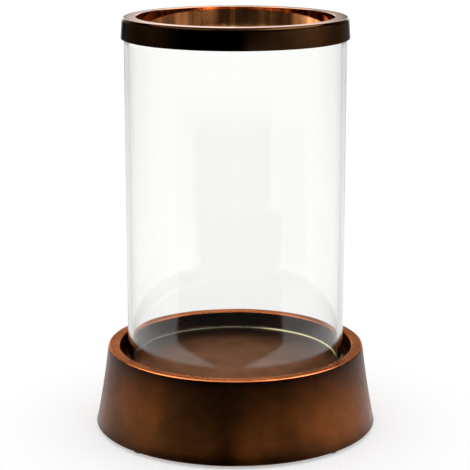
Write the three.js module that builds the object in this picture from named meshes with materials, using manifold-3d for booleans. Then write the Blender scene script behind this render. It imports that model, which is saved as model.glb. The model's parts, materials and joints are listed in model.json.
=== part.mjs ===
// Tabletop hurricane candle holder, in millimetres, +Z up.
//
// A cast metal base with a shallow recess stands on four felt pads. An open glass cylinder
// stands loose in the recess round the candle. A metal ring caps the glass's top edge: the
// edge sits in a groove in the ring's underside, bedded on clear silicone.
// The origin is on the object's axis, at the surface that the pads stand on.

import * as THREE from "three";
import { mergeVertices } from "three/addons/utils/BufferGeometryUtils.js";
import Module from "manifold-3d";

const wasm = await Module();
wasm.setup();

// ---- Driving dimensions ----

const SEGMENTS = 72; // facets round every large turned face
const ARC_STEPS = 2; // facets along a quarter-round edge
const GAP = 0.3; // between pieces that rest on each other

// Base casting
const FOOT_LIFT = 2; // the casting's bottom above the table
const BASE_HEIGHT = 55.5;
const FOOT_RADIUS = 97.5;
const RIM_RADIUS = 88.6;
const WALL_SAG = 0.6; // how far the outer wall bows inwards at mid-height
const WALL_STEPS = 4;
const WALL_THICKNESS = 4.5;
const FLOOR_THICKNESS = 4.5;
const RECESS_RADIUS = 80.5;
const RECESS_DEPTH = 10.75;
const CANDLE_SEAT_RADIUS = 60; // the flat middle of the recess floor, clear of the glass
const OUTER_EDGE = 1; // rounding of the casting's outer edges
const INNER_EDGE = 0.6; // rounding of the recess's upper edge
const FILLET = 2; // inside corners of the casting

// Lugs that carry the pads, and the pads
const PAD_COUNT = 4;
const PAD_RADIUS = 5;
const PAD_SEGMENTS = 24;
const LUG_RADIUS = 6.5;
const LUG_CENTRE_RADIUS = 89.5;

// Glass cylinder
const GLASS_RADIUS = 75;
const GLASS_THICKNESS = 3.5;
const GLASS_HEIGHT = 231;
const GLASS_EDGE = 0.7;

// Top ring and its bedding
const RING_BOTTOM = FOOT_LIFT + 268.5;
const RING_HEIGHT = 14.5;
const RING_BOTTOM_RADIUS = 77;
const RING_TOP_RADIUS = 76.2;
const RING_INNER_RADIUS = 66.6;
const RING_TOP_EDGE = 2.5; // rounding of the ring's upper outer edge
const RING_SMALL_EDGE = 0.6; // rounding of its other edges
const GROOVE_DEPTH = 10;
const GROOVE_CLEARANCE = 0.5; // each side of the glass

// ---- Heights that follow from them ----

const baseTop = FOOT_LIFT + BASE_HEIGHT;
const recessFloor = baseTop - RECESS_DEPTH;
const hollowTop = recessFloor - FLOOR_THICKNESS;
const glassBottom = recessFloor + GAP;
const glassTop = glassBottom + GLASS_HEIGHT;
const ringTop = RING_BOTTOM + RING_HEIGHT;
const grooveTop = RING_BOTTOM + GROOVE_DEPTH;
const glassInnerRadius = GLASS_RADIUS - GLASS_THICKNESS;

// ---- Materials ----

const castBronze = new THREE.MeshStandardMaterial({ color: 0x5a2f1b, metalness: 0.9, roughness: 0.42 });
const ringBronze = new THREE.MeshStandardMaterial({ color: 0x4a2b1c, metalness: 0.95, roughness: 0.28 });
const clearGlass = new THREE.MeshStandardMaterial({
  color: 0xf1f4ee,
  metalness: 0,
  roughness: 0.03,
  transparent: true,
  opacity: 0.25,
});
const clearSilicone = new THREE.MeshStandardMaterial({ color: 0xe4e6e2, metalness: 0, roughness: 0.35 });
const darkFelt = new THREE.MeshStandardMaterial({ color: 0x2a2420, metalness: 0, roughness: 0.95 });

// ---- Profiles: points are (radius, height) ----

const at = (radius, height) => new THREE.Vector2(radius, height);

/** A quarter-round from one heading to the next, about a centre, in degrees. */
function arc(centreRadius, centreHeight, size, fromDegrees, toDegrees) {
  const points = [];
  for (let i = 0; i <= ARC_STEPS; i++) {
    const angle = THREE.MathUtils.degToRad(THREE.MathUtils.lerp(fromDegrees, toDegrees, i / ARC_STEPS));
    points.push(at(centreRadius + size * Math.cos(angle), centreHeight + size * Math.sin(angle)));
  }
  return points;
}

/** The casting's outer radius at a height: a taper that bows slightly inwards. */
function baseRadius(height) {
  const rise = (height - FOOT_LIFT) / BASE_HEIGHT;
  const taper = THREE.MathUtils.lerp(FOOT_RADIUS, RIM_RADIUS, rise);
  return taper - WALL_SAG * 4 * rise * (1 - rise);
}

/** Points along the tapered wall, moved inwards by an offset, between two heights. */
function wall(fromHeight, toHeight, offset) {
  const points = [];
  for (let i = 0; i <= WALL_STEPS; i++) {
    const height = THREE.MathUtils.lerp(fromHeight, toHeight, i / WALL_STEPS);
    points.push(at(baseRadius(height) - offset, height));
  }
  return points;
}

/** The casting's outside, from its foot up to the rim land. */
function baseOutside() {
  const footRadius = baseRadius(FOOT_LIFT) - OUTER_EDGE;
  const landRadius = baseRadius(baseTop) - OUTER_EDGE;
  return [
    ...arc(footRadius, FOOT_LIFT + OUTER_EDGE, OUTER_EDGE, -90, 0),
    ...wall(FOOT_LIFT + OUTER_EDGE, baseTop - OUTER_EDGE, 0).slice(1, -1),
    ...arc(landRadius, baseTop - OUTER_EDGE, OUTER_EDGE, 0, 90),
  ];
}

// ---- Solids ----

/** Turns a profile about the vertical axis. It starts and ends on the axis, or closes on itself. */
function turned(profile) {
  return new THREE.LatheGeometry(profile, SEGMENTS).rotateX(Math.PI / 2);
}

/** An upright cylinder that stands at a height. */
function upright(radius, height, segments, bottom) {
  const geometry = new THREE.CylinderGeometry(radius, radius, height, segments);
  return geometry.rotateX(Math.PI / 2).translate(0, 0, bottom + height / 2);
}

function toSolid(geometry) {
  const bare = geometry.clone();
  bare.deleteAttribute("normal");
  bare.deleteAttribute("uv");
  const merged = mergeVertices(bare, 1e-4);
  return new wasm.Manifold(
    new wasm.Mesh({
      numProp: 3,
      vertProperties: new Float32Array(merged.attributes.position.array),
      triVerts: new Uint32Array(merged.index.array),
    }),
  );
}

function toGeometry(solid) {
  const mesh = solid.getMesh();
  const geometry = new THREE.BufferGeometry();
  geometry.setAttribute("position", new THREE.BufferAttribute(mesh.vertProperties, 3));
  geometry.setIndex(new THREE.BufferAttribute(mesh.triVerts, 1));
  geometry.computeVertexNormals();
  return geometry;
}

function piece(name, geometry, material) {
  const mesh = new THREE.Mesh(geometry, material.clone());
  mesh.name = name;
  return mesh;
}

/** The angles at which the lugs and pads stand, between the X and Y axes. */
function padAngles() {
  return Array.from({ length: PAD_COUNT }, (_, i) => ((i + 0.5) * 2 * Math.PI) / PAD_COUNT);
}

// ---- Pieces ----

/** Cast base: tapered wall, broad rim, recess for the glass, open hollow beneath with four lugs. */
function baseBody() {
  const shell = turned([
    at(0, hollowTop),
    ...arc(baseRadius(hollowTop) - WALL_THICKNESS - FILLET, hollowTop - FILLET, FILLET, 90, 0),
    ...wall(hollowTop - FILLET, FOOT_LIFT, WALL_THICKNESS).slice(1),
    ...baseOutside(),
    ...arc(RECESS_RADIUS + INNER_EDGE, baseTop - INNER_EDGE, INNER_EDGE, 90, 180),
    ...arc(RECESS_RADIUS - FILLET, recessFloor + FILLET, FILLET, 0, -90),
    at(CANDLE_SEAT_RADIUS, recessFloor),
    at(0, recessFloor),
  ]);
  const outline = toSolid(turned([at(0, FOOT_LIFT), ...baseOutside(), at(0, baseTop)]));
  let casting = toSolid(shell);
  for (const angle of padAngles()) {
    const lug = upright(LUG_RADIUS, hollowTop + FLOOR_THICKNESS / 2 - FOOT_LIFT, PAD_SEGMENTS, FOOT_LIFT);
    lug.translate(LUG_CENTRE_RADIUS * Math.cos(angle), LUG_CENTRE_RADIUS * Math.sin(angle), 0);
    casting = casting.add(toSolid(lug).intersect(outline));
  }
  return piece("base_body", toGeometry(casting), castBronze);
}

/** Self-adhesive felt pads under the lugs. */
function feltPads() {
  return padAngles().map((angle, i) => {
    const pad = piece(
      `felt_pad_${i + 1}`,
      upright(PAD_RADIUS, FOOT_LIFT - GAP, PAD_SEGMENTS, 0),
      darkFelt,
    );
    pad.position.set(LUG_CENTRE_RADIUS * Math.cos(angle), LUG_CENTRE_RADIUS * Math.sin(angle), 0);
    return pad;
  });
}

/** Glass tube, open at both ends, with its cut edges softened. */
function glassCylinder() {
  const inner = glassInnerRadius + GLASS_EDGE;
  const outer = GLASS_RADIUS - GLASS_EDGE;
  const low = glassBottom + GLASS_EDGE;
  const high = glassTop - GLASS_EDGE;
  const profile = [
    ...arc(outer, low, GLASS_EDGE, -90, 0),
    ...arc(outer, high, GLASS_EDGE, 0, 90),
    ...arc(inner, high, GLASS_EDGE, 90, 180),
    ...arc(inner, low, GLASS_EDGE, 180, 270),
  ];
  profile.push(profile[0].clone());
  return piece("glass_cylinder", turned(profile), clearGlass);
}

/** Ring that caps the glass, with a groove in its underside for the glass's top edge. */
function topRing() {
  const grooveOuter = GLASS_RADIUS + GROOVE_CLEARANCE;
  const grooveInner = glassInnerRadius - GROOVE_CLEARANCE;
  const small = RING_SMALL_EDGE;
  const profile = [
    at(grooveOuter, RING_BOTTOM),
    ...arc(RING_BOTTOM_RADIUS - small, RING_BOTTOM + small, small, -90, 0),
    ...arc(RING_TOP_RADIUS - RING_TOP_EDGE, ringTop - RING_TOP_EDGE, RING_TOP_EDGE, 0, 90),
    ...arc(RING_INNER_RADIUS + small, ringTop - small, small, 90, 180),
    ...arc(RING_INNER_RADIUS + small, RING_BOTTOM + small, small, 180, 270),
    at(grooveInner, RING_BOTTOM),
    at(grooveInner, grooveTop),
    at(grooveOuter, grooveTop),
    at(grooveOuter, RING_BOTTOM),
  ];
  return piece("top_ring", turned(profile), ringBronze);
}

/** Clear silicone between the glass's top edge and the groove's ceiling. */
function siliconeBead() {
  const inner = glassInnerRadius - GROOVE_CLEARANCE + GAP;
  const outer = GLASS_RADIUS + GROOVE_CLEARANCE - GAP;
  const low = glassTop + GAP;
  const high = grooveTop - GAP;
  const profile = [at(outer, low), at(outer, high), at(inner, high), at(inner, low), at(outer, low)];
  return piece("silicone_bead", turned(profile), clearSilicone);
}

// ---- Assembly: the base stands still, and the chimney lifts off it ----

const base = new THREE.Group();
base.add(baseBody(), ...feltPads());

const chimney = new THREE.Group();
chimney.add(glassCylinder(), topRing(), siliconeBead());

const candleHolder = new THREE.Group();
candleHolder.add(base, chimney);

export default candleHolder;
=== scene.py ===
import json
import math

import bmesh
import bpy
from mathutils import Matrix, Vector, noise


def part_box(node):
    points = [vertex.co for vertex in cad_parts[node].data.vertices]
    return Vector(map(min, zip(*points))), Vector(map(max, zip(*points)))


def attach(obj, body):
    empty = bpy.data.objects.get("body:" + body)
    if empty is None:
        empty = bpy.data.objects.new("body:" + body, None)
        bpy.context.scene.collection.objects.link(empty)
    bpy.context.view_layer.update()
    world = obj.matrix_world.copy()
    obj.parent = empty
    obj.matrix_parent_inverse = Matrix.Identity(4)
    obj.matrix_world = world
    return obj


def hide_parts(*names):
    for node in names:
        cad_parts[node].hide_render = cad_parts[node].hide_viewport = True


# Looks for the tabletop hurricane candle holder. Every size is in metres, in the CAD model's frame.
# Each turned piece is a profile of (radius, height) points, swept round the vertical axis.

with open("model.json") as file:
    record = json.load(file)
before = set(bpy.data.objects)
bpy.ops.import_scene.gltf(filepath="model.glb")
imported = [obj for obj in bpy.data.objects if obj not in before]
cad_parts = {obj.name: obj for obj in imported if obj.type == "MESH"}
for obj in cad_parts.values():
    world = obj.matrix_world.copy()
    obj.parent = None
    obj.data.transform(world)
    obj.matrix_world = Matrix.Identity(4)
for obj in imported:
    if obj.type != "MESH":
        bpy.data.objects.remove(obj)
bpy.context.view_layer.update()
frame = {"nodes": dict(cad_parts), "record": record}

MM = 0.001
DEGREE = math.radians(1)

# ---- Places, from the frame ----

base_low, base_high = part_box("base_body")
glass_low, glass_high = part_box("glass_cylinder")
ring_low, ring_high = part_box("top_ring")

foot_radius = base_high.x
glass_radius = glass_high.x
seat = next(m for m in frame["record"]["mounts"] if m["name"] == "candle_seat")
recess_floor = seat["pos_m"][2]
pad_nodes = sorted(n for n in frame["nodes"] if n.startswith("felt_pad"))

# ---- Sizes that the frame's boxes don't give ----

TURN_STEPS = 288  # faces round a turned piece
PAD_STEPS = 48  # faces round a felt pad
ARC_STEPS = 8  # faces along a rounded edge
STRAIGHT_STEP = 3 * MM  # about the length of a face along a straight stretch of profile
FLAT_WEIGHT = 80  # over 50, so that the larger faces at a corner decide its shading

RIM_RADIUS = 88.6 * MM
WALL_SAG = 0.6 * MM
WALL_THICKNESS = 4.5 * MM
FLOOR_THICKNESS = 4.5 * MM
RECESS_RADIUS = 80.5 * MM
BASE_EDGE = 1.3 * MM
INNER_EDGE = 1.5 * MM
FOOT_INNER_EDGE = 0.6 * MM
HOLLOW_FILLET = 2 * MM
RECESS_FILLET = 0.5 * MM

LUG_RADIUS = 6.5 * MM
LUG_CENTRE_RADIUS = 89.5 * MM
LUG_DRAFT = 0.02  # how far a lug leans back for each unit of height

GLASS_THICKNESS = 3.5 * MM
GLASS_EDGE = 0.7 * MM
GLASS_RIPPLE = 0.035 * MM

RING_TOP_RADIUS = 76.2 * MM
RING_INNER_RADIUS = 66.6 * MM
RING_TOP_EDGE = 2.5 * MM
RING_SMALL_EDGE = 0.6 * MM
GROOVE_DEPTH = 10 * MM
GROOVE_CLEARANCE = 0.5 * MM
GROOVE_EDGE = 0.2 * MM
BEDDING_GAPS = 0.08  # how unevenly the silicone fills the groove

PAD_RADIUS = 5 * MM
PAD_SOFT_EDGE = 0.6 * MM
PAD_FRAY = 0.12 * MM
FILM_THICKNESS = 0.25 * MM
FILM_INSET = 0.1 * MM

# ---- Colours, where tones are the dark and pale ends of a mix ----

WALL_TONES = ((0.092, 0.031, 0.0065, 1), (0.185, 0.054, 0.011, 1))
RIM_TONES = ((0.235, 0.067, 0.022, 1), (0.34, 0.097, 0.032, 1))
RECESS_FLOOR_TONES = ((0.078, 0.038, 0.025, 1), (0.118, 0.054, 0.034, 1))
# The recess wall is darker than the recess floor: painted shade in the recess.
RECESS_WALL_SHADE_TONES = ((0.035, 0.018, 0.012, 1), (0.06, 0.028, 0.018, 1))
RAW_TONES = ((0.055, 0.032, 0.022, 1), (0.13, 0.085, 0.06, 1))
RAW_STAIN = (0.03, 0.022, 0.018, 1)
RING_OUTSIDE_TONES = ((0.036, 0.015, 0.006, 1), (0.058, 0.024, 0.009, 1))
RING_INSIDE_TONES = ((0.44, 0.16, 0.055, 1), (0.62, 0.24, 0.085, 1))
RING_TOP_TONES = ((0.42, 0.18, 0.085, 1), (0.54, 0.25, 0.12, 1))
CUT_EDGE_TONES = ((0.26, 0.29, 0.19, 1), (0.36, 0.39, 0.28, 1))
CUT_EDGE_GLOW = (1, 0.93, 0.56, 1)
GLASS_TINT = (0.86, 0.93, 0.62, 1)
GLASS_DENSITY = 9.0  # of the tint, for each metre of glass
SILICONE_TONE = (0.93, 0.94, 0.92, 1)
FELT_TONES = ((0.018, 0.014, 0.012, 1), (0.075, 0.062, 0.053, 1))
FILM_TONES = ((0.32, 0.28, 0.22, 1), (0.45, 0.41, 0.34, 1))
WHITE = (1, 1, 1, 1)
TABLE_TONE = (0.62, 0.62, 0.62, 1)

# Tints of the metal at glancing angles
WALL_GRAZE = (0.86, 0.77, 0.75, 1)
SATIN_GRAZE = (0.70, 0.54, 0.47, 1)
GLOSS_GRAZE = (0.85, 0.75, 0.70, 1)
BLACK_GRAZE = (0.56, 0.54, 0.52, 1)

RIM_SHADE_DEPTH = 31 * MM  # how far down the wall the painted shade under the rim reaches
FOOT_SHADE_HEIGHT = 13 * MM  # how far up the wall the painted shade along the foot reaches


# ---- Turned meshes ----


def arc(centre_r, centre_z, size, start, end, steps=ARC_STEPS):
    """Points of a circular arc in the profile plane, angles in degrees."""
    angles = (math.radians(start + (end - start) * i / steps) for i in range(steps + 1))
    return [(centre_r + size * math.cos(a), centre_z + size * math.sin(a)) for a in angles]


def line(start, end, steps):
    """Points between two profile points, without the two themselves."""
    (start_r, start_z), (end_r, end_z) = start, end
    shares = (i / steps for i in range(1, steps))
    return [(start_r + (end_r - start_r) * s, start_z + (end_z - start_z) * s) for s in shares]


def joined(*runs):
    """Runs of profile points, end to end, with evenly spaced points along each straight between runs."""
    points = list(runs[0])
    for run in runs[1:]:
        gap = math.dist(points[-1], run[0])
        points += line(points[-1], run[0], max(1, round(gap / STRAIGHT_STEP)))
        points += run
    return points


def as_drawn(angle, number, radius, height):
    """The warp that changes nothing."""
    return radius, height


def circle(bm, point, number, warp, steps, centre):
    """The path of one profile point round the axis: a single vertex, repeated, where it lies on the axis."""
    radius, height = point
    if radius == 0:
        return [bm.verts.new((*centre, height))] * steps
    path = []
    for i in range(steps):
        angle = 2 * math.pi * i / steps
        r, z = warp(angle, number, radius, height)
        path.append(bm.verts.new((centre[0] + r * math.cos(angle), centre[1] + r * math.sin(angle), z)))
    return path


def linked(name, bm):
    """An object in the scene, from a finished bmesh."""
    mesh = bpy.data.meshes.new(name)
    bm.to_mesh(mesh)
    bm.free()
    piece = bpy.data.objects.new(name, mesh)
    bpy.context.scene.collection.objects.link(piece)
    return piece


def swept(name, profile, closed, warp=as_drawn, steps=TURN_STEPS, centre=(0, 0)):
    """A profile swept round the upright axis through centre. It starts and ends on the axis if not closed.

    warp moves each point, given its angle, its number along the profile, its radius and its height."""
    bm = bmesh.new()
    paths = [circle(bm, point, number, warp, steps, centre) for number, point in enumerate(profile)]
    if closed:
        paths.append(paths[0])
    for low, high in zip(paths, paths[1:]):
        for i in range(steps):
            j = (i + 1) % steps
            corners = dict.fromkeys([low[i], low[j], high[j], high[i]])
            bm.faces.new(list(corners)).smooth = True
    bmesh.ops.recalc_face_normals(bm, faces=bm.faces)
    return linked(name, bm)


def turned(name, profile, closed, warp=as_drawn):
    """A swept piece whose flat faces are shaded flat beside its rounded edges."""
    piece = swept(name, profile, closed, warp)
    weighted = piece.modifiers.new("flat faces stay flat", "WEIGHTED_NORMAL")
    weighted.mode = "FACE_AREA"
    weighted.weight = FLAT_WEIGHT
    return piece


def place(piece, body, node):
    """The piece rides on its body and stands for its CAD node."""
    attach(piece, body)
    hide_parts(node)
    return piece


def give_materials(piece, *rules):
    """Each rule is (material, test). A face takes the first whose test its radius, height and normal pass."""
    mesh = piece.data
    for material, _ in rules:
        mesh.materials.append(material)
    for face in mesh.polygons:
        x, y, z = face.center
        for index, (_, test) in enumerate(rules):
            if test(math.hypot(x, y), z, face.normal):
                face.material_index = index
                break


def anywhere(radius, height, normal):
    """The test of a rule that takes every face that is left."""
    return True


# ---- Shader helpers ----


class Nodes:
    """A node tree under construction."""

    def __init__(self, tree):
        self.tree = tree

    def node(self, kind, sockets=None, **settings):
        made = self.tree.nodes.new(kind)
        for name, value in settings.items():
            setattr(made, name, value)
        for name, value in (sockets or {}).items():
            self.set(made.inputs[name], value)
        return made

    def set(self, socket, value):
        if isinstance(value, bpy.types.NodeSocket):
            self.tree.links.new(value, socket)
        else:
            socket.default_value = value

    def maths(self, operation, a, b=0.0):
        made = self.node("ShaderNodeMath", operation=operation)
        self.set(made.inputs[0], a)
        self.set(made.inputs[1], b)
        return made.outputs["Value"]

    def total(self, *values):
        result = values[0]
        for value in values[1:]:
            result = self.maths("ADD", result, value)
        return result

    def product(self, *values):
        result = values[0]
        for value in values[1:]:
            result = self.maths("MULTIPLY", result, value)
        return result

    def opposite(self, share):
        """What is left of 1."""
        return self.maths("SUBTRACT", 1.0, share)

    def ranged(self, value, from_low, from_high, to_low=0.0, to_high=1.0):
        """A smooth step from one value to another."""
        sockets = {
            "Value": value,
            "From Min": from_low,
            "From Max": from_high,
            "To Min": to_low,
            "To Max": to_high,
        }
        return self.node("ShaderNodeMapRange", sockets, interpolation_type="SMOOTHSTEP").outputs["Result"]

    def band(self, value, low, high, soft):
        """1 between low and high, 0 outside them, with soft edges."""
        rising = self.ranged(value, low - soft, low + soft)
        falling = self.ranged(value, high - soft, high + soft, 1, 0)
        return self.product(rising, falling)

    def turning(self, bearing, start, end, low=0.0, high=1.0):
        """A smooth step between two bearings in degrees."""
        return self.ranged(bearing, start * DEGREE, end * DEGREE, low, high)

    def sector(self, bearing, start, end, soft):
        """1 between two bearings in degrees, 0 outside them, with soft edges."""
        return self.band(bearing, start * DEGREE, end * DEGREE, soft * DEGREE)

    def mixed(self, factor, a, b, blend="MIX"):
        made = self.node("ShaderNodeMix", data_type="RGBA", blend_type=blend)
        for socket, value in (("Factor_Float", factor), ("A_Color", a), ("B_Color", b)):
            self.set(next(i for i in made.inputs if i.identifier == socket), value)
        return next(o for o in made.outputs if o.identifier == "Result_Color")

    def dimmed(self, colour, share):
        """A colour times a brightness."""
        return self.mixed(1.0, colour, share, "MULTIPLY")

    def split(self, vector):
        return self.node("ShaderNodeSeparateXYZ", {"Vector": vector}).outputs

    def bearing(self, parts):
        """The compass angle of a direction or place in radians: 0 at the front (-Y), positive towards +X."""
        return self.maths("ARCTAN2", parts["X"], self.maths("MULTIPLY", parts["Y"], -1.0))

    def from_axis(self, parts):
        squares = [self.product(parts[axis], parts[axis]) for axis in ("X", "Y")]
        return self.maths("SQRT", self.total(*squares))

    def seen_in_mirror(self):
        """1 for rays that have been reflected, 0 for what the camera sees directly or through glass."""
        depth = self.node("ShaderNodeLightPath").outputs["Glossy Depth"]
        return self.maths("GREATER_THAN", depth, 0.5)


class Look(Nodes):
    """A material under construction, with its Principled shader."""

    def __init__(self, name, **sockets):
        self.material = bpy.data.materials.new(name)
        self.material.use_nodes = True
        super().__init__(self.material.node_tree)
        self.shader = self.tree.nodes["Principled BSDF"]
        self.output = self.tree.nodes["Material Output"]
        for socket, value in sockets.items():
            self.shader.inputs[socket.replace("_", " ")].default_value = value
        self.coordinates = self.node("ShaderNodeTexCoord").outputs["Object"]
        self.place = self.split(self.coordinates)

    def stretched(self, x, y, z):
        """The object's coordinates, scaled along each axis."""
        sockets = {"Vector": self.coordinates, "Scale": (x, y, z)}
        return self.node("ShaderNodeMapping", sockets).outputs["Vector"]

    def polar(self, around, outward, upward):
        """Coordinates for marks that run round the axis: angle, radius and height, each scaled."""
        angle = self.bearing(self.place)
        sockets = {
            "X": self.product(angle, around),
            "Y": self.product(self.from_axis(self.place), outward),
            "Z": self.product(self.place["Z"], upward),
        }
        return self.node("ShaderNodeCombineXYZ", sockets).outputs["Vector"]

    def noise(self, scale, detail=4, roughness=0.5, vector=None, distortion=0):
        sockets = {
            "Vector": vector or self.coordinates,
            "Scale": scale,
            "Detail": detail,
            "Roughness": roughness,
            "Distortion": distortion,
        }
        return self.node("ShaderNodeTexNoise", sockets).outputs["Fac"]

    def bump(self, height, distance):
        sockets = {"Height": height, "Distance": distance, "Strength": 1.0}
        return self.node("ShaderNodeBump", sockets).outputs["Normal"]

    def finish(self, **links):
        for socket, value in links.items():
            self.set(self.shader.inputs[socket.replace("_", " ")], value)
        return self.material


# ---- Metals ----


def bronze(name, tones, roughness, graze, shade=None, lacquer=0.0):
    """Patinated bronze: soft clouds between two tones, faint mottling, uneven gloss, a very faint ripple.

    graze tints the metal at glancing angles. shade is a function of the look that makes the colour darker
    or brighter in places, for painted shade, highlights and reflections. lacquer is the weight of a clear
    coat."""
    look = Look(name, Metallic=1.0, Specular_Tint=graze, Coat_Weight=lacquer, Coat_Roughness=0.2)
    clouds = look.ranged(look.noise(19, distortion=0.3), 0.34, 0.66)
    mottling = look.ranged(look.noise(95, roughness=0.6), 0.25, 0.75, 0.86, 1.14)
    colour = look.dimmed(look.mixed(clouds, *tones), mottling)
    if shade:
        colour = look.dimmed(colour, shade(look))
    gloss = look.ranged(look.noise(60, detail=5, roughness=0.6), 0.3, 0.7, *roughness)
    ripple = look.bump(look.noise(240, detail=2), 0.004 * MM)
    return look.finish(Base_Color=colour, Roughness=gloss, Normal=ripple)


def painted_shade_under_rim_and_foot(look):
    """Painted shade on the wall: darkest right under the rim and along the foot."""
    below_rim = look.maths("SUBTRACT", base_high.z, look.place["Z"])
    above_foot = look.maths("SUBTRACT", look.place["Z"], base_low.z)
    under_rim = look.maths("POWER", look.product(below_rim, 1 / RIM_SHADE_DEPTH), 0.65)
    at_foot = look.maths("POWER", look.product(above_foot, 1 / FOOT_SHADE_HEIGHT), 0.5)
    return look.product(look.maths("MINIMUM", under_rim, 1.0), look.maths("MINIMUM", at_foot, 1.0))


def painted_rim_highlight(look):
    """The rim is brighter along its outer edge and a little darker elsewhere: a painted highlight."""
    outer = base_radius(base_high.z)
    return look.ranged(look.from_axis(look.place), outer - 1.5 * MM, outer - 0.5 * MM, 0.88, 1.7)


def painted_shade_at_back(look):
    """The recess floor is darker at the back: painted shade."""
    return look.ranged(look.place["Y"], -45 * MM, 55 * MM, 1.0, 0.5)


def painted_reflection_dark_left(look):
    """The ring's outside is painted black on the left and stays brown on the right: a painted reflection."""
    return look.ranged(look.place["X"], -10 * MM, 25 * MM, 0.3, 1.0)


def painted_reflection_streaks(look):
    """Upright stripes of light and dark inside the ring: painted reflections."""
    wide = look.ranged(look.noise(1, detail=1, vector=look.polar(5, 0, 9)), 0.3, 0.7, 0.55, 1.5)
    narrow = look.ranged(look.noise(1, detail=3, vector=look.polar(26, 0, 5)), 0.3, 0.7, 0.75, 1.25)
    return look.product(wide, narrow)


def raw_casting():
    """The unfinished underside: dark, dull, sandy."""
    look = Look("raw_casting", Metallic=0.8)
    sand = look.noise(700, detail=5, roughness=0.7)
    colour = look.mixed(look.ranged(sand, 0.3, 0.7), *RAW_TONES)
    stains = look.ranged(look.noise(30), 0.45, 0.7, 0, 0.5)
    colour = look.mixed(stains, colour, RAW_STAIN)
    rough = look.ranged(sand, 0.2, 0.8, 0.5, 0.8)
    return look.finish(Base_Color=colour, Roughness=rough, Normal=look.bump(sand, 0.25 * MM))


# ---- Glass, silicone and felt ----


def absorbing(look):
    """Light through the glass takes on its tint, more so the longer its way."""
    sockets = {"Color": GLASS_TINT, "Density": GLASS_DENSITY}
    volume = look.node("ShaderNodeVolumeAbsorption", sockets)
    look.tree.links.new(volume.outputs["Volume"], look.output.inputs["Volume"])


def glass():
    """Clear glass with upright drawing lines and faint smudges."""
    look = Look("clear_glass", Transmission_Weight=1.0, IOR=1.5, Base_Color=WHITE)
    drawn = look.noise(1, detail=2, vector=look.stretched(70, 70, 9))
    smudges = look.noise(38, detail=6, roughness=0.6)
    rough = look.ranged(smudges, 0.45, 0.8, 0.0, 0.035)
    absorbing(look)
    return look.finish(Roughness=rough, Normal=look.bump(drawn, 0.02 * MM))


def cut_edge():
    """The glass's ends, ground. A glow on the right stands for light that real glass carries to its edge."""
    look = Look("glass_cut_edge", Transmission_Weight=0.7, IOR=1.5, Emission_Color=CUT_EDGE_GLOW)
    ground = look.noise(2200, detail=2)
    colour = look.mixed(look.noise(150), *CUT_EDGE_TONES)
    on_right = look.ranged(look.place["X"], 10 * MM, 40 * MM, 0.04, 0.8)
    uneven = look.ranged(look.noise(45), 0.3, 0.7, 0.7, 1.2)
    rough = look.ranged(ground, 0.3, 0.7, 0.18, 0.42)
    absorbing(look)
    return look.finish(
        Base_Color=colour,
        Roughness=rough,
        Normal=look.bump(ground, 0.03 * MM),
        Emission_Strength=look.product(on_right, uneven),
    )


def silicone():
    """Clear silicone, rippled where it was squeezed and smoothed."""
    look = Look("clear_silicone", Transmission_Weight=0.75, IOR=1.41, Base_Color=SILICONE_TONE)
    ripples = look.noise(320, detail=3)
    rough = look.ranged(ripples, 0.2, 0.8, 0.18, 0.45)
    return look.finish(Roughness=rough, Normal=look.bump(ripples, 0.15 * MM))


def felt():
    """Dark pressed felt, with fibres that run mostly from front to back."""
    look = Look("dark_felt", Sheen_Weight=0.25, Sheen_Roughness=0.4)
    lie = look.stretched(2600, 1100, 1800)
    fibres = look.noise(1, detail=6, roughness=0.75, vector=lie, distortion=2.5)
    colour = look.mixed(look.ranged(fibres, 0.3, 0.7), *FELT_TONES)
    rough = look.ranged(fibres, 0, 1, 0.85, 1.0)
    return look.finish(Base_Color=colour, Roughness=rough, Normal=look.bump(fibres, 0.25 * MM))


def adhesive():
    """The film of adhesive between a pad and its lug."""
    look = Look("pad_adhesive", IOR=1.45)
    film = look.noise(400, detail=3)
    rough = look.ranged(film, 0.2, 0.8, 0.3, 0.5)
    return look.finish(Base_Color=look.mixed(film, *FILM_TONES), Roughness=rough)


# ---- Base casting ----


def base_radius(height):
    """The casting's outer radius at a height: a taper that bows slightly inwards."""
    rise = (height - base_low.z) / (base_high.z - base_low.z)
    return foot_radius + (RIM_RADIUS - foot_radius) * rise - WALL_SAG * 4 * rise * (1 - rise)


def wall(start, end, offset, steps):
    """Profile points up or down the tapered wall, at an offset inside its outer face."""
    heights = [start + (end - start) * i / steps for i in range(steps + 1)]
    return [(base_radius(z) - offset, z) for z in heights]


def hollow_profile():
    """The hollow under the casting, from the axis out and down to the foot's underside."""
    top = recess_floor - FLOOR_THICKNESS
    fillet_low = top - HOLLOW_FILLET
    foot_edge = base_low.z + FOOT_INNER_EDGE
    foot_inside = foot_radius - WALL_THICKNESS
    return joined(
        [(0, top)],
        arc(base_radius(top) - WALL_THICKNESS - HOLLOW_FILLET, fillet_low, HOLLOW_FILLET, 90, 0),
        wall(fillet_low, foot_edge, WALL_THICKNESS, 12)[1:],
        arc(foot_inside + FOOT_INNER_EDGE, foot_edge, FOOT_INNER_EDGE, 180, 270),
    )


def outside_profile():
    """The outer wall, from the foot up and over the rim's outer edge."""
    low, high = base_low.z + BASE_EDGE, base_high.z - BASE_EDGE
    return joined(
        arc(foot_radius - BASE_EDGE, low, BASE_EDGE, -90, 0),
        wall(low, high, 0, 20)[1:-1],
        arc(base_radius(base_high.z) - BASE_EDGE, high, BASE_EDGE, 0, 90),
    )


def recess_profile():
    """The recess for the glass, from the rim's inner edge down and in to the axis."""
    return joined(
        arc(RECESS_RADIUS + INNER_EDGE, base_high.z - INNER_EDGE, INNER_EDGE, 90, 180),
        arc(RECESS_RADIUS - RECESS_FILLET, recess_floor + RECESS_FILLET, RECESS_FILLET, 0, -90),
        [(0, recess_floor)],
    )


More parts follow.
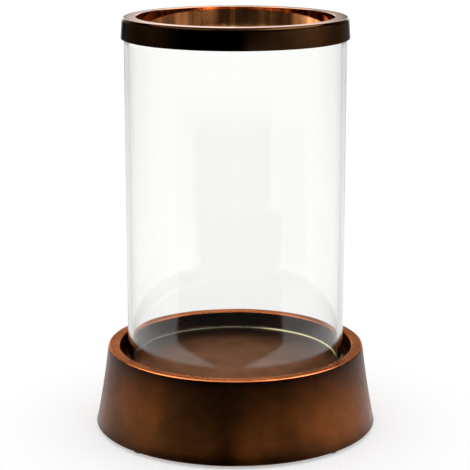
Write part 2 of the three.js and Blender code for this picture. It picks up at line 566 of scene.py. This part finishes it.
def lug_reach(angle, lug_angles):
    """The radius of the nearest lug's inner face at this angle, or None between lugs."""
    for centre in lug_angles:
        away = math.remainder(angle - centre, 2 * math.pi)
        across = LUG_CENTRE_RADIUS * math.sin(away)
        if abs(across) < LUG_RADIUS and abs(away) < 1:
            return LUG_CENTRE_RADIUS * math.cos(away) - math.sqrt(LUG_RADIUS**2 - across**2)
    return None


def base_casting(lug_angles):
    """The tapered wall, rim, recess and hollow in one, with a lug in the hollow at each of the angles."""
    hollow = hollow_profile()

    def with_lugs(angle, number, radius, height):
        reach = lug_reach(angle, lug_angles)
        if number >= len(hollow) or reach is None:
            return radius, height
        corner = max(0.0, base_low.z + FOOT_INNER_EDGE - height)
        rounding = FOOT_INNER_EDGE - math.sqrt(max(0.0, FOOT_INNER_EDGE**2 - corner**2))
        draft = (height - base_low.z) * LUG_DRAFT
        return min(radius, reach + rounding - draft), height

    profile = joined(hollow, outside_profile(), recess_profile())
    return turned("base_casting", profile, closed=False, warp=with_lugs)


def under_the_casting(radius, height, normal):
    """The test for faces that stay raw: those that look down, and those of the hollow."""
    inside = radius < base_radius(height) - 2 * MM
    return normal.z < -0.3 or (inside and height < recess_floor - 2 * MM)


def build_base(lug_angles):
    # The wall carries painted shade under the rim and along the foot.
    wall_bronze = bronze("cast_bronze", WALL_TONES, (0.27, 0.36), WALL_GRAZE, painted_shade_under_rim_and_foot, lacquer=0.1)
    # The rim carries a painted highlight along its outer edge.
    rim_bronze = bronze("rim_bronze", RIM_TONES, (0.22, 0.30), SATIN_GRAZE, painted_rim_highlight)
    # The recess floor carries painted shade at its back.
    floor_bronze = bronze("recess_bronze", RECESS_FLOOR_TONES, (0.28, 0.36), SATIN_GRAZE, painted_shade_at_back)
    # Darker tones paint shade on the recess wall.
    shaded_recess_wall = bronze("shaded_recess_wall", RECESS_WALL_SHADE_TONES, (0.24, 0.34), SATIN_GRAZE)
    casting = place(base_casting(lug_angles), "base", "base_body")
    give_materials(
        casting,
        (raw_casting(), under_the_casting),
        (wall_bronze, lambda r, z, n: n.z < 0.5 and r > RECESS_RADIUS + 3 * MM),
        (floor_bronze, lambda r, z, n: r < RECESS_RADIUS - RECESS_FILLET),
        (shaded_recess_wall, lambda r, z, n: r < RECESS_RADIUS + INNER_EDGE / 5),
        (rim_bronze, anywhere),
    )


# ---- Felt pads ----


def pad(node, centre):
    """A felt disc with a soft lower edge, on a film of adhesive."""
    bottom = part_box(node)[0].z
    film_low = base_low.z - FILM_THICKNESS
    film_radius = PAD_RADIUS - FILM_INSET
    profile = [
        (0, bottom),
        *arc(PAD_RADIUS - PAD_SOFT_EDGE, bottom + PAD_SOFT_EDGE, PAD_SOFT_EDGE, -90, 0, 5),
        (PAD_RADIUS, film_low),
        (film_radius, film_low),
        (film_radius, base_low.z),
        (0, base_low.z),
    ]

    def frayed(angle, number, radius, height):
        spot = Vector((centre.x * 500 + math.cos(angle) * 4, math.sin(angle) * 4, number))
        return radius + PAD_FRAY * noise.noise(spot), height

    return swept(f"{node}_disc", profile, False, frayed, PAD_STEPS, centre.xy)


def in_film(radius, height, normal):
    """The test for a pad's faces that are adhesive, not felt."""
    return height > base_low.z - 1.2 * FILM_THICKNESS


def build_pads(centres):
    felt_look = felt()
    film_look = adhesive()
    for node, centre in centres.items():
        disc = place(pad(node, centre), "base", node)
        give_materials(disc, (film_look, in_film), (felt_look, anywhere))


# ---- Glass, ring and bedding ----


def glass_tube():
    """A tube with rounded ends and a very faint ripple, different inside and outside."""
    outer = glass_radius - GLASS_EDGE
    inner = glass_radius - GLASS_THICKNESS + GLASS_EDGE
    low, high = glass_low.z + GLASS_EDGE, glass_high.z - GLASS_EDGE
    profile = joined(
        arc(outer, low, GLASS_EDGE, -90, 0, 5),
        arc(outer, high, GLASS_EDGE, 0, 90, 5),
        arc(inner, high, GLASS_EDGE, 90, 180, 5),
        arc(inner, low, GLASS_EDGE, 180, 270, 5),
    )

    def rippled(angle, number, radius, height):
        side = 0 if radius > glass_radius - GLASS_THICKNESS / 2 else 40
        spot = Vector((math.cos(angle) * 3.2, math.sin(angle) * 3.2, height * 14 + side))
        return radius + GLASS_RIPPLE * noise.noise(spot), height

    return turned("glass_tube", profile, closed=True, warp=rippled)


def ring():
    """The cap: a flat ring with a well rounded top edge, and a groove in its underside for the glass."""
    low, high = ring_low.z, ring_high.z
    small, lip = RING_SMALL_EDGE, GROOVE_EDGE
    groove_outer = glass_radius + GROOVE_CLEARANCE
    groove_inner = glass_radius - GLASS_THICKNESS - GROOVE_CLEARANCE
    groove_top = low + GROOVE_DEPTH
    profile = joined(
        arc(groove_outer + lip, low + lip, lip, 180, 270, 3),
        arc(ring_high.x - small, low + small, small, -90, 0),
        arc(RING_TOP_RADIUS - RING_TOP_EDGE, high - RING_TOP_EDGE, RING_TOP_EDGE, 0, 90, 14),
        arc(RING_INNER_RADIUS + small, high - small, small, 90, 180),
        arc(RING_INNER_RADIUS + small, low + small, small, 180, 270),
        arc(groove_inner - lip, low + lip, lip, 270, 360, 3),
        arc(groove_inner + lip, groove_top - lip, lip, 180, 90, 3),
        arc(groove_outer - lip, groove_top - lip, lip, 90, 0, 3),
    )
    return turned("ring_cap", profile, closed=True)


def bead():
    """Bedding between the glass's edge and the groove, squeezed out a little unevenly."""
    inner = glass_radius - GLASS_THICKNESS - GROOVE_CLEARANCE
    outer = glass_radius + GROOVE_CLEARANCE
    low, high = glass_high.z, ring_low.z + GROOVE_DEPTH
    bulge = (high - low) / 2
    middle = (low + high) / 2
    profile = joined(
        arc(outer - bulge, middle, bulge, -90, 90, 8),
        arc(inner + bulge, middle, bulge, 90, 270, 8),
    )

    def uneven(angle, number, radius, height):
        centre = (inner + outer) / 2
        spot = Vector((math.cos(angle) * 6, math.sin(angle) * 6, 3))
        swell = 1 - BEDDING_GAPS * (1 + noise.noise(spot))
        return centre + (radius - centre) * swell, height

    return turned("silicone_bedding", profile, closed=True, warp=uneven)


def build_chimney():
    # Dark tones on the ring's outside, with a painted reflection that turns the left half black.
    ring_outside = bronze("ring_dark_outside_with_painted_reflection", RING_OUTSIDE_TONES, (0.05, 0.08), BLACK_GRAZE, painted_reflection_dark_left)
    # The ring's inside carries painted reflections as upright stripes.
    ring_inside = bronze("ring_inside", RING_INSIDE_TONES, (0.02, 0.05), GLOSS_GRAZE, painted_reflection_streaks)
    ring_top = bronze("ring_top", RING_TOP_TONES, (0.03, 0.06), GLOSS_GRAZE)
    rounding_starts = RING_TOP_RADIUS - RING_TOP_EDGE

    tube = place(glass_tube(), "chimney", "glass_cylinder")
    give_materials(tube, (cut_edge(), lambda r, z, n: abs(n.z) > 0.4), (glass(), anywhere))
    cap = place(ring(), "chimney", "top_ring")
    give_materials(
        cap,
        (ring_outside, lambda r, z, n: r > rounding_starts and n.z < 0.95),
        (ring_inside, lambda r, z, n: n.z < 0.1),
        (ring_top, anywhere),
    )
    bedding = place(bead(), "chimney", "silicone_bead")
    give_materials(bedding, (silicone(), anywhere))


# ---- The room that reflections see ----

# The camera sees a white table in a white studio. The photo's metal and glass reflect a darker place, so
# reflections see another room and another table top, invented to match the main view. From other sides
# the mat and the table's edge leave dark patches and steps. Bearings are in degrees, 0 at the front (the
# camera's side) and positive to the right. turn is a bearing without its sign.

LEFT_WALL = 0.7
RIGHT_WALL = 0.9
WALL_BEHIND = 1.9
TALL_PANEL = 1.5
HIGH_BAND = 0.45
LOW_STRIP = 0.45
UNLIT = 0.01

TABLE_EDGE = (2.22, 2.40)  # where the mirrored table ends, from the axis
MAT_START = (0.25, 0.325)  # where its mat starts, and where it has its full width
MAT_END = 0.55
MAT_SKEW = 6 * DEGREE  # how far left of the front the mat lies
MAT_HALF_WIDTHS = (6 * DEGREE, 52 * DEGREE)
MAT_SOFT = 1.5 * DEGREE
MAT_DARKNESS = 0.93


def lit_walls(look, bearing, turn, up):
    """The lower part of the walls: lit on both sides, brightest behind, except straight behind."""
    left = look.product(look.turning(bearing, -50, -100), LEFT_WALL)
    right = look.product(look.turning(bearing, 45, 78), look.turning(bearing, 85, 125, RIGHT_WALL, 0.2))
    sides = look.product(look.total(left, right), look.turning(turn, 168, 174, 1, 0.55))
    behind = look.product(look.turning(turn, 152, 166), look.turning(turn, 168, 174, 1, 0), WALL_BEHIND)
    return look.product(look.total(sides, behind), look.ranged(up, 0.30, 0.50, 1, 0))


def panels(look, bearing, turn, up):
    """A tall panel straight behind, a dimmer band high up round it, and a low strip at the front right."""
    tall = look.product(look.turning(turn, 175.5, 177.5), look.band(up, 0.10, 0.6, 0.02), TALL_PANEL)
    high = look.product(look.turning(turn, 160, 174), look.band(up, 0.20, 0.45, 0.04), HIGH_BAND)
    front_right = look.product(look.turning(bearing, 4, 16), look.turning(bearing, 50, 75, 1, 0))
    low = look.product(front_right, look.band(up, -0.025, 0.025, 0.01), LOW_STRIP)
    return look.total(tall, high, low)


def softboxes(look, direction):
    """Overhead, and brighter to the left and right."""
    aside = look.maths("ABSOLUTE", direction["X"])
    return look.product(look.ranged(aside, 0.24, 0.42, 1.8, 4.5), look.ranged(direction["Z"], 0.60, 0.68))


def mirrored_room(look, direction):
    """What reflections see of the world: a dark room with lit walls, panels and softboxes."""
    bearing = look.bearing(direction)
    turn = look.maths("ABSOLUTE", bearing)
    walls = lit_walls(look, bearing, turn, direction["Z"])
    return look.total(walls, panels(look, bearing, turn, direction["Z"]), softboxes(look, direction), UNLIT)


def table_mat(look, bearing, away):
    """1 on the dark mat in front of the object: a wedge that widens quickly, and folded cloth beyond it."""
    from_middle = look.maths("ABSOLUTE", look.total(bearing, MAT_SKEW))
    half_width = look.ranged(away, *MAT_START, *MAT_HALF_WIDTHS)
    past_side = look.maths("SUBTRACT", from_middle, half_width)
    wedge = look.product(
        look.ranged(past_side, -MAT_SOFT, MAT_SOFT, 1, 0),
        look.ranged(away, MAT_END - 0.01, MAT_END + 0.01, 1, 0),
    )
    folds = look.ranged(look.noise(1, detail=3, vector=look.polar(9, 0.4, 0)), 0.35, 0.65, 0.7, 1.0)
    beyond = look.product(look.sector(bearing, -42, 74, 5), look.band(away, 0.5, 1.4, 0.15), folds)
    return look.maths("MAXIMUM", wedge, beyond)


def table_top(look, bearing, turn, away):
    """White cloth, brightest near the object's front and sides, with the mat on it and light from behind."""
    near = look.product(look.ranged(away, 0.30, 0.36, 0.3, 0), look.turning(turn, 90, 120, 1, 0))
    cloth = look.total(look.ranged(away, 0.4, 2.0, 0.75, 0.58), near)
    mat = look.product(table_mat(look, bearing, away), MAT_DARKNESS)
    from_behind = look.turning(turn, 130, 160, 0, 0.22)
    return look.total(look.product(look.opposite(mat), cloth), from_behind)


def beyond_table(look, bearing, turn, away):
    """The floor of the dark room: lit on the right, more on the left, and behind."""
    right = look.product(look.sector(bearing, 45, 150, 16), 0.4)
    left = look.product(look.sector(bearing, -138, -82, 14), look.ranged(away, 2.7, 4.0, 2.1, 0.5))
    return look.total(right, left, look.turning(turn, 150, 170, 0, 0.6), 0.03)


def mirrored_table(look):
    """What reflections see of the floor: a round white table with a dark mat in front, in a dark room."""
    bearing = look.bearing(look.place)
    turn = look.maths("ABSOLUTE", bearing)
    away = look.from_axis(look.place)
    on_table = look.ranged(away, *TABLE_EDGE, 1, 0)
    table = look.product(on_table, table_top(look, bearing, turn, away))
    return look.total(table, look.product(look.opposite(on_table), beyond_table(look, bearing, turn, away)))


# ---- Stage ----

FLOOR_RADIUS = 9
FLOOR_GLOW = 0.42  # lifts the white table to the white of the studio

# The camera fitted to the outlines in the photo
CAMERA_ASIDE = -0.3 * MM
CAMERA_DISTANCE = 11.571 * foot_radius
CAMERA_HEIGHT = base_low.z + 4.0815 * foot_radius
CAMERA_TILT = 13.25 * DEGREE
SENSOR_WIDTH = 36
FOCAL_LENGTH = 128.7


def studio_world():
    """White all round, except in reflections."""
    world = bpy.data.worlds.new("studio")
    bpy.context.scene.world = world
    world.use_nodes = True
    look = Nodes(world.node_tree)
    direction = look.split(look.node("ShaderNodeTexCoord").outputs["Generated"])
    mirrored = look.seen_in_mirror()
    room = look.product(mirrored, mirrored_room(look, direction))
    background = look.tree.nodes["Background"]
    look.set(background.inputs["Strength"], look.total(room, look.opposite(mirrored)))
    look.set(background.inputs["Color"], WHITE)


def table_look():
    """A white table that glows a little. Reflections see the mirrored table instead."""
    look = Look("white_table", Roughness=0.9, Specular_IOR_Level=0.1, Base_Color=TABLE_TONE)
    look.finish(Emission_Color=WHITE, Emission_Strength=FLOOR_GLOW)
    reflected = look.node("ShaderNodeEmission", {"Strength": mirrored_table(look)})
    mix = look.node("ShaderNodeMixShader", {"Fac": look.seen_in_mirror()})
    look.tree.links.new(look.shader.outputs["BSDF"], mix.inputs[1])
    look.tree.links.new(reflected.outputs["Emission"], mix.inputs[2])
    look.tree.links.new(mix.outputs["Shader"], look.output.inputs["Surface"])
    return look.material


def floor():
    bm = bmesh.new()
    bmesh.ops.create_circle(bm, cap_ends=True, radius=FLOOR_RADIUS, segments=64)
    piece = linked("floor", bm)
    piece.data.materials.append(table_look())


def camera():
    data = bpy.data.cameras.new("camera")
    data.sensor_width = SENSOR_WIDTH
    data.lens = FOCAL_LENGTH
    cam = bpy.data.objects.new("camera", data)
    bpy.context.scene.collection.objects.link(cam)
    cam.location = (CAMERA_ASIDE, -CAMERA_DISTANCE, CAMERA_HEIGHT)
    cam.rotation_euler = (90 * DEGREE - CAMERA_TILT, 0, 0)
    bpy.context.scene.camera = cam


# ---- Build ----

pad_boxes = {node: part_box(node) for node in pad_nodes}
pad_centres = {node: (low + high) / 2 for node, (low, high) in pad_boxes.items()}

build_base([math.atan2(centre.y, centre.x) for centre in pad_centres.values()])
build_chimney()
build_pads(pad_centres)

floor()
studio_world()
camera()
bpy.context.scene.view_settings.view_transform = "Standard"
